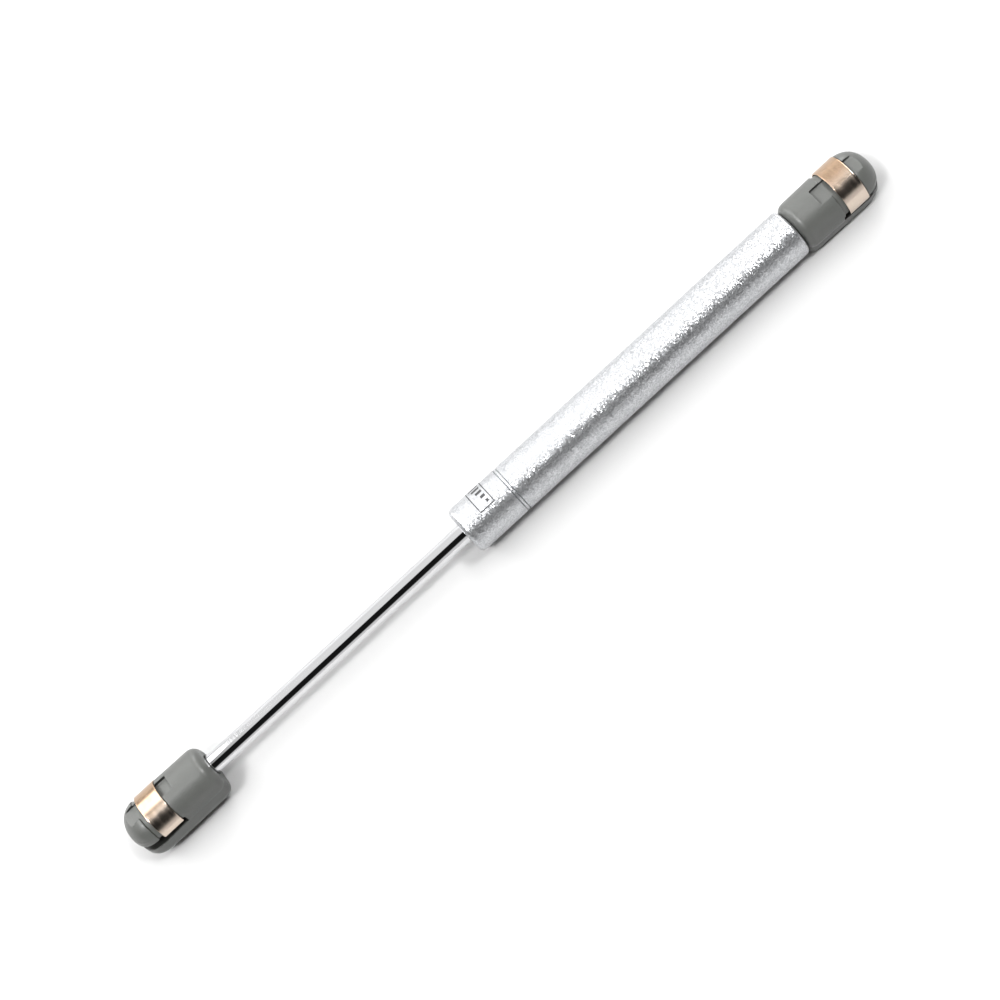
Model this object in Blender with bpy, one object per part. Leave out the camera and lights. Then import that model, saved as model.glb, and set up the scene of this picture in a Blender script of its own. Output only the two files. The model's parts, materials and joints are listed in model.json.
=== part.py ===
"""Gas strut stay: a 15 mm pressure tube, a 6 mm rod and two moulded ball sockets.

The strut lies along X at full extension, the rod end towards -X. The origin is on the
strut's axis, half way along it. Run with: blender --background --python part.py
"""

import math

import bmesh
import bpy
from mathutils import Matrix, Vector

MM = 0.001

# Driving dimensions. The stroke, the four lengths along the axis and the diameters set the rest.
STROKE = 90 * MM
ROD_HEAD_LENGTH = 30.2 * MM
EXPOSED_ROD = 95.2 * MM
TUBE_LENGTH = 123.6 * MM
TUBE_HEAD_LENGTH = 28.5 * MM
FACE_GAP = 0.2 * MM  # between faces that bear on each other
TUBE_R = 7.5 * MM
TUBE_WALL = 1.2 * MM
ROD_R = 3.0 * MM
RUNNING_GAP = 0.1 * MM  # between the rod and what it slides through
SNUG_GAP = 0.15 * MM  # between fixed pieces and the bore
ROD_END_TWIST = math.radians(-22)  # how the rod end head is turned about the strut's axis
ROUND = 32  # sides on a turned piece
HEAD_SIDES = 48  # points round a head's section

# Stations along the axis.
OVERALL = ROD_HEAD_LENGTH + EXPOSED_ROD + TUBE_LENGTH + FACE_GAP + TUBE_HEAD_LENGTH
ROD_TIP_X = -OVERALL / 2
ROD_HEAD_FACE_X = ROD_TIP_X + ROD_HEAD_LENGTH
TUBE_FRONT_X = ROD_HEAD_FACE_X + EXPOSED_ROD
TUBE_TIP_X = OVERALL / 2

# Pressure tube, measured from its front face.
BORE_R = TUBE_R - TUBE_WALL
FRONT_CORNER = 1.8 * MM
REAR_CORNER = 1.0 * MM
LIP = 1.1 * MM  # thickness of the rolled ends
FRONT_LIP_R = 4.6 * MM
REAR_LIP_R = 5.2 * MM
BEAD_AT = 17.85 * MM  # rolled groove that holds the guide and seal
BEAD_HALF = 0.55 * MM
BEAD_DEPTH = 0.35 * MM

# Guide and seal, from the tube's front face.
WIPER = (0.5 * MM, 2.5 * MM)
GUIDE = (LIP + FACE_GAP, 9.0 * MM)
SEAL = (GUIDE[1] + FACE_GAP, 13.2 * MM)
SUPPORT = (SEAL[1] + FACE_GAP, 16.9 * MM)
WIPER_R = 4.25 * MM
WIPER_LIP = 0.9 * MM  # how far its scraping lip stands out in front
GUIDE_RING_AT = 5.75 * MM  # middle of the guide's O-ring groove
SEAL_WEB = 1.4 * MM  # solid part in front of the lips
SEAL_CHANNEL = (4.1 * MM, 5.2 * MM)  # radii of the hollow between the lips
LIP_RELIEF = 0.3 * MM  # a lip's or scraper's step back from the rod
O_RING_R = 0.5 * MM  # radius of the guide's and plug's O-ring section
O_RING_SPACE = O_RING_R + 0.2 * MM  # half the width of its groove
O_RING_FLOOR = BORE_R - 2 * O_RING_R - 0.3 * MM  # radius of the groove's floor

# Piston stack, from the tube's front face with the rod fully out.
STACK_FRONT = 19.0 * MM
FRONT_WASHER = 0.8 * MM
PISTON_LENGTH = 4.6 * MM
THROTTLE = 0.5 * MM
REAR_WASHER = 0.6 * MM
RIVET_HEAD = 0.9 * MM
SPIGOT_R = 2.0 * MM
STACK_BORE_R = 2.2 * MM
WASHERS_R = (5.4 * MM, 3.9 * MM, 3.2 * MM)  # front washer, throttle disc, rear washer
PISTON_FLOOR = 4.9 * MM  # radius of the piston ring groove's floor
PISTON_RING_HALF = 1.0 * MM  # half the width of that groove
BLEED_HOLE_R = 0.6 * MM
BLEED_HOLE_AT = 3.6 * MM
BLEED_HOLES = 3
STACK_END = STACK_FRONT + FRONT_WASHER + PISTON_LENGTH + THROTTLE + REAR_WASHER + 4 * FACE_GAP

# Rear plug, from the tube's front face. The rivet head stops just short of it.
END_CLEARANCE = 0.5 * MM
PLUG = (STACK_END + RIVET_HEAD + STROKE + END_CLEARANCE, TUBE_LENGTH - LIP - FACE_GAP)
PLUG_BOSS_R = 4.9 * MM

# Threaded ends, drawn at their mean diameter.
THREAD_R = 2.4 * MM
THREAD_LENGTH = 9.8 * MM
THREAD_HOLE_R = 2.65 * MM
THREAD_HOLE_DEPTH = 12.2 * MM
COUNTERBORE_R = 3.5 * MM
COUNTERBORE_DEPTH = 1.5 * MM
ROD_SEAT = 1.2 * MM  # how far the rod's full diameter enters the counterbore
THREAD_POINT = 0.6 * MM  # chamfer on a thread's end
ROD_EDGE = 0.3 * MM

# Ball socket head. Its own frame has X from the tip to the strut and Z up to the pry pocket.
HEAD_R = 7.8 * MM
DOME_BLUNT = 2.25  # exponent of the dome's outline from above; 2 is round
JAW_R = 7.4 * MM  # half width of the lower jaw
JAW_BLUNT = 2.6
MOUTH_Z = -7.8 * MM  # flat face round the socket's mouth
JAW_FILLET = 3.0 * MM
NECK_FILLET = 2.8 * MM
HEAD_TAPER = 0.025
BALL_AT = 10.9 * MM  # socket centre from the tip
BALL_Z = 1.0 * MM
SOCKET_R = 4.15 * MM
MOUTH_R = 5.5 * MM
FLARE = 1.6 * MM
SPLIT = ((-1, -3.1), (15.8, -2.0), (15.8, 0.5), (6, 0.3), (-1, -1))  # side view, in mm
GROOVE = (6.6 * MM, 15.3 * MM)  # clip groove, from the tip
GROOVE_R = 7.2 * MM
GROOVE_LOW = -1.9 * MM  # where the groove runs out into the split
POCKET_HALF = 2.65 * MM
POCKET_FLOOR = 6.2 * MM
POCKET_END = 19.0 * MM

# Safety clip.
CLIP_R = 7.5 * MM  # inside radius
CLIP_GAUGE = 0.5 * MM
CLIP_WIDTH = 7.0 * MM
CLIP_TAB_TIP = 3.8 * MM
CLIP_TAB_Z = (-0.65 * MM, -0.1 * MM)
ROD_CLIP_AT = 8.1 * MM  # clip's edge from the tip
TUBE_CLIP_AT = 6.8 * MM


def clear_scene():
    for item in list(bpy.data.objects):
        bpy.data.objects.remove(item, do_unlink=True)


def material(name, colour, roughness, metallic):
    made = bpy.data.materials.new(name)
    made.use_nodes = True
    shader = made.node_tree.nodes["Principled BSDF"]
    shader.inputs["Base Color"].default_value = (*colour, 1)
    shader.inputs["Roughness"].default_value = roughness
    shader.inputs["Metallic"].default_value = metallic
    made.diffuse_color = (*colour, 1)
    return made


def empty(name, matrix):
    made = bpy.data.objects.new(name, None)
    made.empty_display_size = 10 * MM
    bpy.context.collection.objects.link(made)
    made.matrix_world = matrix
    return made


def piece(name, mesh_builder, finish, parent=None):
    """Turns a bmesh into a named, smooth-shaded object in its parent's frame."""
    bmesh.ops.recalc_face_normals(mesh_builder, faces=mesh_builder.faces)
    mesh = bpy.data.meshes.new(name)
    mesh_builder.to_mesh(mesh)
    mesh_builder.free()
    mesh.shade_smooth()
    mesh.set_sharp_from_angle(angle=math.radians(35))
    made = bpy.data.objects.new(name, mesh)
    bpy.context.collection.objects.link(made)
    if finish:
        mesh.materials.append(finish)
    made.parent = parent
    return made


def cut(target, name, mesh_builder):
    """Takes a cutter, built in the target's frame, out of the target."""
    cutter = piece(name, mesh_builder, None, target.parent)
    cutter.hide_render = True
    cutter.display_type = "WIRE"
    boolean = target.modifiers.new(name, "BOOLEAN")
    boolean.object = cutter
    boolean.operation = "DIFFERENCE"
    boolean.solver = "EXACT"


def arc(centre, radius, start, end, steps):
    """Points of an arc in the (along, out) plane, from one angle to another in degrees."""
    along, out = centre
    angles = [math.radians(start + (end - start) * i / steps) for i in range(steps + 1)]
    return [(along + radius * math.cos(a), out + radius * math.sin(a)) for a in angles]


def turned(outline, sides=ROUND, axis=Vector((1, 0, 0)), out=Vector((0, 0, 1))):
    """Spins an outline of (along, out) points about an axis through the origin.

    An outline that starts and ends on the axis makes a solid. Any other is closed into a ring.
    """
    shape = bmesh.new()
    points = [shape.verts.new(axis * a + out * r) for a, r in outline]
    on_axis = outline[0][1] == 0 and outline[-1][1] == 0
    ends = zip(points, points[1:] if on_axis else points[1:] + points[:1])
    edges = [shape.edges.new(pair) for pair in ends]
    bmesh.ops.spin(
        shape, geom=points + edges, cent=(0, 0, 0), axis=axis, angle=math.tau, steps=sides
    )
    bmesh.ops.remove_doubles(shape, verts=shape.verts, dist=0.0005 * MM)
    return shape


def ring(inner, outer, start, end):
    """A plain washer between two stations, with its outline as (along, out) points."""
    return [(start, inner), (start, outer), (end, outer), (end, inner)]


def prism(outline, start, end):
    """Carries an outline of (y, z) points along X."""
    shape = bmesh.new()
    face = shape.faces.new([shape.verts.new((start, y, z)) for y, z in outline])
    grown = bmesh.ops.extrude_face_region(shape, geom=[face])
    moved = [item for item in grown["geom"] if isinstance(item, bmesh.types.BMVert)]
    bmesh.ops.translate(shape, verts=moved, vec=(end - start, 0, 0))
    return shape


def block(low, high):
    """A box between two corners."""
    shape = bmesh.new()
    bmesh.ops.create_cube(shape, size=1)
    size = Vector(high) - Vector(low)
    middle = (Vector(high) + Vector(low)) / 2
    place = Matrix.Translation(middle) @ Matrix.Diagonal((*size, 1))
    bmesh.ops.transform(shape, matrix=place, verts=shape.verts)
    return shape


def from_tube_front(outline):
    """Moves an outline whose stations are measured from the tube's front face."""
    return [(TUBE_FRONT_X + along, out) for along, out in outline]


# Pressure tube and what is fixed in it.


def tube_outline():
    bead_low, bead_high = BEAD_AT - BEAD_HALF, BEAD_AT + BEAD_HALF
    front = arc((FRONT_CORNER, TUBE_R - FRONT_CORNER), FRONT_CORNER, 180, 90, 4)
    rear = arc((TUBE_LENGTH - REAR_CORNER, TUBE_R - REAR_CORNER), REAR_CORNER, 90, 0, 3)
    outside_bead = [
        (bead_low, TUBE_R),
        (BEAD_AT - BEAD_HALF / 2, TUBE_R - BEAD_DEPTH),
        (BEAD_AT + BEAD_HALF / 2, TUBE_R - BEAD_DEPTH),
        (bead_high, TUBE_R),
    ]
    inside_bead = [
        (bead_high, BORE_R),
        (BEAD_AT + BEAD_HALF / 2, BORE_R - BEAD_DEPTH),
        (BEAD_AT - BEAD_HALF / 2, BORE_R - BEAD_DEPTH),
        (bead_low, BORE_R),
    ]
    rear_lip = [
        (TUBE_LENGTH, REAR_LIP_R),
        (TUBE_LENGTH - LIP, REAR_LIP_R),
        (TUBE_LENGTH - LIP, BORE_R),
    ]
    front_lip = [(LIP, BORE_R), (LIP, FRONT_LIP_R), (0, FRONT_LIP_R)]
    return front + outside_bead + rear + rear_lip + inside_bead + front_lip


def o_ring(station, floor):
    """An O-ring that stands just clear of its groove's floor and of the bore."""
    middle = (floor + BORE_R) / 2
    return arc((station, middle), O_RING_R, 0, 315, 7)


def grooved(start, end, outside, inside, station, floor, half_width):
    """A ring's outline with a groove round its outside."""
    groove = [
        (station - half_width, outside),
        (station - half_width, floor),
        (station + half_width, floor),
        (station + half_width, outside),
    ]
    return [(start, inside), (start, outside)] + groove + [(end, outside), (end, inside)]


def guide_outline():
    """The guide, with an O-ring groove outside and a recess in front for the wiper."""
    outside = BORE_R - SNUG_GAP
    inside = ROD_R + RUNNING_GAP
    recess_r = WIPER_R + SNUG_GAP
    recess_end = WIPER[1] + FACE_GAP
    body = grooved(*GUIDE, outside, inside, GUIDE_RING_AT, O_RING_FLOOR, O_RING_SPACE)
    return [(recess_end, inside), (recess_end, recess_r), (GUIDE[0], recess_r)] + body[1:]


def seal_outline():
    """A lip seal, open towards the gas so that its pressure holds the lips on rod and bore."""
    outside = BORE_R - SNUG_GAP
    inside = ROD_R + RUNNING_GAP
    web = SEAL[0] + SEAL_WEB
    return [
        (SEAL[0], inside),
        (SEAL[0], outside),
        (SEAL[1], outside),
        (web, SEAL_CHANNEL[1]),
        (web, SEAL_CHANNEL[0]),
        (SEAL[1], inside + LIP_RELIEF),
        (SEAL[1], inside),
    ]


def wiper_outline():
    """A scraper ring whose front lip leans on the rod."""
    inside = ROD_R + RUNNING_GAP
    return [
        (WIPER[0], inside),
        (WIPER[0] + WIPER_LIP / 4, inside + LIP_RELIEF),
        (WIPER[0] + WIPER_LIP, WIPER_R),
        (WIPER[1], WIPER_R),
        (WIPER[1], inside + LIP_RELIEF),
        (WIPER[0] + WIPER_LIP, inside + LIP_RELIEF / 3),
    ]


def plug_outline():
    """The rear plug: a grooved disc, a boss through the rolled end, and the threaded stud."""
    outside = BORE_R - SNUG_GAP
    middle = (PLUG[0] + PLUG[1]) / 2
    disc = grooved(PLUG[0], PLUG[1], outside, 0, middle, O_RING_FLOOR, O_RING_SPACE)
    stud_end = TUBE_LENGTH + THREAD_LENGTH
    boss = [
        (PLUG[1], PLUG_BOSS_R),
        (TUBE_LENGTH - FACE_GAP / 2, PLUG_BOSS_R),
        (TUBE_LENGTH - FACE_GAP / 2, THREAD_R),
        (stud_end - THREAD_POINT, THREAD_R),
        (stud_end, THREAD_R - THREAD_POINT),
        (stud_end, 0),
    ]
    return disc[:-1] + boss


def add_tube(finishes):
    steel, zinc, rubber, resin = (finishes[k] for k in ("paint", "zinc", "rubber", "resin"))
    plug_middle = (PLUG[0] + PLUG[1]) / 2
    support = ring(ROD_R + 2 * RUNNING_GAP, BORE_R - 2 * SNUG_GAP, *SUPPORT)
    for name, outline, finish in (
        ("pressure_tube", tube_outline(), steel),
        ("wiper_ring", wiper_outline(), rubber),
        ("rod_guide", guide_outline(), resin),
        ("guide_o_ring", o_ring(GUIDE_RING_AT, O_RING_FLOOR), rubber),
        ("rod_seal", seal_outline(), rubber),
        ("seal_support_ring", support, resin),
        ("rear_plug", plug_outline(), zinc),
        ("rear_plug_o_ring", o_ring(plug_middle, O_RING_FLOOR), rubber),
    ):
        piece(name, turned(from_tube_front(outline)), finish)


# Rod, and the piston riveted on its inner end.


def rod_outline():
    """The rod, from its threaded outer end to the rivet head behind the piston."""
    seat = ROD_HEAD_FACE_X - ROD_SEAT
    shoulder = TUBE_FRONT_X + STACK_FRONT - FACE_GAP
    rivet = TUBE_FRONT_X + STACK_END
    return [
        (seat - THREAD_LENGTH, 0),
        (seat - THREAD_LENGTH, THREAD_R - THREAD_POINT),
        (seat - THREAD_LENGTH + THREAD_POINT, THREAD_R),
        (seat, THREAD_R),
        (seat, ROD_R - ROD_EDGE),
        (seat + ROD_EDGE, ROD_R),
        (shoulder, ROD_R),
        (shoulder, SPIGOT_R),
        (rivet, SPIGOT_R),
        (rivet, ROD_R),
        (rivet + RIVET_HEAD / 2, ROD_R),
        (rivet + RIVET_HEAD, SPIGOT_R),
        (rivet + RIVET_HEAD, 0),
    ]


def piston_outline(start, end):
    middle = (start + end) / 2
    outside = BORE_R - 1.5 * SNUG_GAP
    return grooved(start, end, outside, STACK_BORE_R, middle, PISTON_FLOOR, PISTON_RING_HALF)


def drill_piston(piston, start, end):
    """Bleed holes through the piston, which the throttle disc half covers."""
    for turn in range(BLEED_HOLES):
        drill = turned(
            [
                (start - MM, 0),
                (start - MM, BLEED_HOLE_R),
                (end + MM, BLEED_HOLE_R),
                (end + MM, 0),
            ],
            sides=12,
        )
        swing = Matrix.Rotation(math.tau * turn / BLEED_HOLES, 4, "X")
        place = swing @ Matrix.Translation((0, 0, BLEED_HOLE_AT))
        bmesh.ops.transform(drill, matrix=place, verts=drill.verts)
        cut(piston, f"bleed_hole_{turn + 1}", drill)


def add_rod(finishes):
    front_washer = (STACK_FRONT, STACK_FRONT + FRONT_WASHER)
    piston = (front_washer[1] + FACE_GAP, front_washer[1] + FACE_GAP + PISTON_LENGTH)
    throttle = (piston[1] + FACE_GAP, piston[1] + FACE_GAP + THROTTLE)
    rear_washer = (throttle[1] + FACE_GAP, throttle[1] + FACE_GAP + REAR_WASHER)
    middle = (piston[0] + piston[1]) / 2
    ring_half = PISTON_RING_HALF - SNUG_GAP
    piston_ring = ring(
        PISTON_FLOOR + SNUG_GAP, BORE_R - SNUG_GAP, middle - ring_half, middle + ring_half
    )
    zinc, resin = finishes["zinc"], finishes["resin"]
    piece("piston_rod", turned(rod_outline()), finishes["chrome"])
    for name, outline, finish in (
        ("piston_front_washer", ring(STACK_BORE_R, WASHERS_R[0], *front_washer), zinc),
        ("piston_ring", piston_ring, resin),
        ("throttle_disc", ring(STACK_BORE_R, WASHERS_R[1], *throttle), zinc),
        ("piston_rear_washer", ring(STACK_BORE_R, WASHERS_R[2], *rear_washer), zinc),
    ):
        piece(name, turned(from_tube_front(outline)), finish)
    body = piece("piston", turned(from_tube_front(piston_outline(*piston))), zinc)
    drill_piston(body, TUBE_FRONT_X + piston[0], TUBE_FRONT_X + piston[1])


# Ball socket heads, in their own frame: X from the tip towards the strut, Z up to the pocket.


def plan_reach(ahead, y, exponent):
    """How far out a point lies on an outline that is round for 2 and blunter above it."""
    return (ahead**exponent + abs(y) ** exponent) ** (1 / exponent)


def in_jaw(ahead, y, z):
    """True inside the lower jaw: an upright end whose lower rim is filleted.

    ahead is how far the section lies in front of the end's own axis.
    """
    reach = JAW_R
    fillet_z = MOUTH_Z + JAW_FILLET
    if z < fillet_z:
        drop = min(1, (fillet_z - z) / JAW_FILLET)
        reach = JAW_R - JAW_FILLET * (1 - math.sqrt(1 - drop * drop))
    return MOUTH_Z <= z <= 2 * MM and plan_reach(ahead, y, JAW_BLUNT) <= reach


def in_dome(ahead, y, z):
    """True inside the bar and the dome at its end."""
    return plan_reach(ahead, y, DOME_BLUNT) ** 2 + z * z <= HEAD_R * HEAD_R


def section_radius(station, angle):
    """How far the head reaches from its axis, at an angle in radians from the pocket side."""
    ahead = max(0.0, HEAD_R - station)
    low, high = 0.0, 12 * MM
    for _ in range(40):
        middle = (low + high) / 2
        y, z = middle * math.sin(angle), middle * math.cos(angle)
        inside = in_jaw(ahead, y, z) or in_dome(ahead, y, z)
        low, high = (middle, high) if inside else (low, middle)
    return low


def head_section(station, length):
    """The head's outline at a station, drawn in where the neck's end is rounded over."""
    past = max(0.0, station - (length - NECK_FILLET))
    inset = NECK_FILLET - math.sqrt(max(0.0, NECK_FILLET**2 - past**2))
    narrowing = max(0.0, (station - GROOVE[1]) / (length - GROOVE[1]))
    shrink = 1 - HEAD_TAPER * narrowing
    points = []
    for side in range(HEAD_SIDES):
        angle = math.tau * side / HEAD_SIDES
        radius = section_radius(station, angle) - inset
        y = radius * math.sin(angle) * shrink
        z = radius * math.cos(angle)
        points.append((station, y, z * shrink if z > 0 else z))
    return points


def head_stations(length):
    """Stations close together on the dome and on the rounded neck, and far apart between."""
    dome = [HEAD_R * (1 - math.cos(math.radians(a))) for a in (12, 24, 36, 48, 60, 75, 90)]
    neck = [length - NECK_FILLET * (1 - math.sin(math.radians(a))) for a in (0, 22, 44, 66, 88)]
    return dome + [GROOVE[1]] + neck


def head_body(length):
    """Bridges the head's sections into one closed body."""
    shape = bmesh.new()
    tip = shape.verts.new((0, 0, 0))
    loops = []
    for station in head_stations(length):
        verts = [shape.verts.new(point) for point in head_section(station, length)]
        loops.append([shape.edges.new(pair) for pair in zip(verts, verts[1:] + verts[:1])])
    for first, second in zip(loops, loops[1:]):
        bmesh.ops.bridge_loops(shape, edges=first + second)
    for edge in loops[0]:
        shape.faces.new((*edge.verts, tip))
    bmesh.ops.contextual_create(shape, geom=loops[-1])
    return shape


def groove_cutter():
    """The upper half of a ring, down to the split between the jaws."""
    outer, floor = 9 * MM, GROOVE_LOW
    steps = 24
    over = [math.radians(-90 + 180 * i / steps) for i in range(steps + 1)]
    outside = [(outer * math.sin(a), outer * math.cos(a)) for a in over]
    inside = [(GROOVE_R * math.sin(a), GROOVE_R * math.cos(a)) for a in reversed(over)]
    right, left = [(outer, floor), (GROOVE_R, floor)], [(-GROOVE_R, floor), (-outer, floor)]
    return prism(outside + right + inside + left, *GROOVE)


def split_cutter():
    """The split between the jaws, which opens a little towards the tip."""
    shape = prism([(along * MM, up * MM) for along, up in SPLIT], -10 * MM, 10 * MM)
    swap = Matrix(((0, 1, 0), (1, 0, 0), (0, 0, 1))).to_4x4()
    bmesh.ops.transform(shape, matrix=swap, verts=shape.verts)
    return shape


def socket_cutter():
    """A round seat, the bore below it and the flare at the mouth, turned about an upright axis."""
    below = MOUTH_Z - MM
    slope = (MOUTH_R - SOCKET_R) / FLARE
    seat = arc((BALL_Z, 0), SOCKET_R, 0, 90, 7)
    seat[0] = (BALL_Z + SOCKET_R, 0)
    bore = [
        (MOUTH_Z + FLARE, SOCKET_R),
        (below, MOUTH_R + slope * MM),
        (below, 0),
    ]
    shape = turned(seat + bore, axis=Vector((0, 0, 1)), out=Vector((1, 0, 0)))
    bmesh.ops.translate(shape, verts=shape.verts, vec=(BALL_AT, 0, 0))
    return shape


def thread_cutter(length):
    """The threaded hole and the counterbore at its mouth."""
    outline = [
        (length - THREAD_HOLE_DEPTH, 0),
        (length - THREAD_HOLE_DEPTH, THREAD_HOLE_R),
        (length - COUNTERBORE_DEPTH, THREAD_HOLE_R),
        (length - COUNTERBORE_DEPTH, COUNTERBORE_R),
        (length + MM, COUNTERBORE_R),
        (length + MM, 0),
    ]
    return turned(outline)


def clip_body(edge):
    """The safety clip: a half-round band whose ends turn in through the split to the ball."""
    outer = CLIP_R + CLIP_GAUGE
    low, high = CLIP_TAB_Z
    steps = 24
    over = [math.radians(-90 + 180 * i / steps) for i in range(steps + 1)]
    outside = [(outer * math.sin(a), outer * math.cos(a)) for a in over]
    inside = [(CLIP_R * math.sin(a), CLIP_R * math.cos(a)) for a in reversed(over)]
    right = [(outer, low), (CLIP_TAB_TIP, low), (CLIP_TAB_TIP, high), (CLIP_R, high)]
    left = [(-y, z) for y, z in reversed(right)]
    return prism(outside + right + inside + left, edge, edge + CLIP_WIDTH)


def add_end(prefix, length, clip_edge, place, finishes):
    """One head with its clip, in the frame that place gives."""
    frame = empty(f"{prefix}_frame", place)
    head = piece(f"{prefix}_head", head_body(length), finishes["plastic"], frame)
    pocket = block((-MM, -POCKET_HALF, POCKET_FLOOR), (POCKET_END, POCKET_HALF, 10 * MM))
    cut(head, f"{prefix}_clip_groove", groove_cutter())
    cut(head, f"{prefix}_pry_pocket", pocket)
    cut(head, f"{prefix}_split", split_cutter())
    cut(head, f"{prefix}_socket", socket_cutter())
    cut(head, f"{prefix}_thread", thread_cutter(length))
    piece(f"{prefix}_clip", clip_body(clip_edge), finishes["spring"], frame)


def main():
    clear_scene()
    finishes = {
        "paint": material("silver_paint", (0.55, 0.55, 0.55), 0.35, 0.8),
        "chrome": material("hard_chrome", (0.75, 0.75, 0.76), 0.06, 1.0),
        "plastic": material("grey_plastic", (0.25, 0.255, 0.24), 0.45, 0.0),
        "spring": material("spring_steel", (0.62, 0.5, 0.42), 0.25, 1.0),
        "rubber": material("black_rubber", (0.02, 0.02, 0.02), 0.7, 0.0),
        "resin": material("bearing_resin", (0.7, 0.68, 0.6), 0.4, 0.0),
        "zinc": material("zinc", (0.45, 0.45, 0.46), 0.4, 1.0),
    }
    rod_place = Matrix.Rotation(ROD_END_TWIST, 4, "X")
    rod_place = Matrix.Translation((ROD_TIP_X, 0, 0)) @ rod_place
    tube_place = Matrix.Translation((TUBE_TIP_X, 0, 0)) @ Matrix.Rotation(math.pi, 4, "Z")
    add_tube(finishes)
    add_rod(finishes)
    add_end("rod_end", ROD_HEAD_LENGTH, ROD_CLIP_AT, rod_place, finishes)
    add_end("tube_end", TUBE_HEAD_LENGTH, TUBE_CLIP_AT, tube_place, finishes)


main()
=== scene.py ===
# %% [markdown]
# # A small gas strut
#
# This strut holds up a cabinet flap or a window shutter. A painted steel tube holds gas under
# pressure. A chromed rod slides out of it. A grey plastic socket on each end snaps over a ball
# stud, and a sprung metal clip keeps it there.
#
# The sizes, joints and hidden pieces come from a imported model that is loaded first. What this
# lesson adds is the finish: smooth turned surfaces, softly moulded sockets, paint with flakes in
# it, bright chrome, and the light to show them in. Every length is in metres.

import json
import math

import bmesh
import bpy
import numpy as np
from mathutils import Matrix, Vector

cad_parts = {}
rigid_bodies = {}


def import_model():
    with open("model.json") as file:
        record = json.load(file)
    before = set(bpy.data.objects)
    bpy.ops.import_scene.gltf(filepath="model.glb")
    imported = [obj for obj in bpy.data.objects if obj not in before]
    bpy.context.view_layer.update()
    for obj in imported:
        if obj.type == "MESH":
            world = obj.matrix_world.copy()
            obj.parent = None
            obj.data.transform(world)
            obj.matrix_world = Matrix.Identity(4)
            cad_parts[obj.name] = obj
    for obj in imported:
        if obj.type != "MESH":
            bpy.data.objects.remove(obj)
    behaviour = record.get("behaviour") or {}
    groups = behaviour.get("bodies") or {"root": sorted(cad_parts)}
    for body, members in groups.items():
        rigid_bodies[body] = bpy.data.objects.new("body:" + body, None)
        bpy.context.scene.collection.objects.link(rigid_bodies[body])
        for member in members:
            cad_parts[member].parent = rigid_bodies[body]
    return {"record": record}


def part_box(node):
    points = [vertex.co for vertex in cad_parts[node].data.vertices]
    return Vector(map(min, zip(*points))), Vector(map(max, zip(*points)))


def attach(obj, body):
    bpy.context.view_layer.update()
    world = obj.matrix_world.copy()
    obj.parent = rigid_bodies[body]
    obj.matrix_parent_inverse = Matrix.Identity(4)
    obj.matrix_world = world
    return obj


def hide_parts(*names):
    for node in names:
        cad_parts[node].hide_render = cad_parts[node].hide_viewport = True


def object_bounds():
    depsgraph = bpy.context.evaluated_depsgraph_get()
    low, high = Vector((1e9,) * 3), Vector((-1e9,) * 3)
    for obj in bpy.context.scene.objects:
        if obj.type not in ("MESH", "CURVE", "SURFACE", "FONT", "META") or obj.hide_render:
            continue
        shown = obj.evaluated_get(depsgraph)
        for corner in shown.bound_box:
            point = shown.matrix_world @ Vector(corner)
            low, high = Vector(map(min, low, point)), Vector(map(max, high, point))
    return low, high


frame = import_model()
frame_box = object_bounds()
MM = 0.001
print("whole strut, mm:", np.round((np.array(frame_box[1]) - np.array(frame_box[0])) / MM, 1))

# %% [markdown]
# ## Where everything lies
#
# The strut's axis is the X axis. The rod end points to -X and the tube end to +X. Each length
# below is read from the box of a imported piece, so a new surface always meets its neighbours.

# %% Stations along the axis
tube_low, tube_high = (np.array(corner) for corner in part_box("pressure_tube"))
rod_low, rod_high = (np.array(corner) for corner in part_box("piston_rod"))
rod_head_low, rod_head_high = (np.array(corner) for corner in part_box("rod_end_head"))
tube_head_low, _ = (np.array(corner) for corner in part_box("tube_end_head"))

TUBE_FRONT, TUBE_REAR = tube_low[0], tube_high[0]
TUBE_R = (tube_high[1] - tube_low[1]) / 2
ROD_R = 3.0 * MM
ROD_TIP, ROD_HEAD_FACE = frame_box[0][0], rod_head_high[0]
TUBE_TIP, TUBE_HEAD_FACE = frame_box[1][0], tube_head_low[0]
print("tube from", round(TUBE_FRONT / MM, 2), "to", round(TUBE_REAR / MM, 2), "mm")
print("heads", round((ROD_HEAD_FACE - ROD_TIP) / MM, 2), round((TUBE_TIP - TUBE_HEAD_FACE) / MM, 2))

# %% [markdown]
# ## The camera
#
# The strut is seen from high up, 20 degrees off straight down, through a fairly long lens. The
# camera is rolled so that the strut rises from lower left to upper right. A camera needs three
# directions at right angles: its right, its up, and the way back from the scene to the lens.

# %% Camera
OFF_VERTICAL = math.radians(20)
ROLL = math.radians(42.6)
DISTANCE = 0.6175

back = Vector((0, -math.sin(OFF_VERTICAL), math.cos(OFF_VERTICAL)))
along = Vector((1, 0, 0))
across = back.cross(along)
right = along * math.cos(ROLL) - across * math.sin(ROLL)
up = along * math.sin(ROLL) + across * math.cos(ROLL)

camera_data = bpy.data.cameras.new("camera")
camera_data.lens = 80
camera_data.sensor_width = 36
camera_data.clip_start = 0.01
camera = bpy.data.objects.new("camera", camera_data)
bpy.context.scene.collection.objects.link(camera)
camera.matrix_world = Matrix.Translation(back * DISTANCE) @ Matrix((right, up, back)).transposed().to_4x4()
bpy.context.scene.camera = camera
print("camera at", [round(value, 3) for value in back * DISTANCE])

# %% [markdown]
# ## Helpers that make surfaces
#
# Nearly every piece here is a set of rings joined one to the next. A ring is a row of points that
# closes on itself. Where a surface meets its own axis the whole ring falls on one point, so the
# doubles are merged and the pole is closed.


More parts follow.
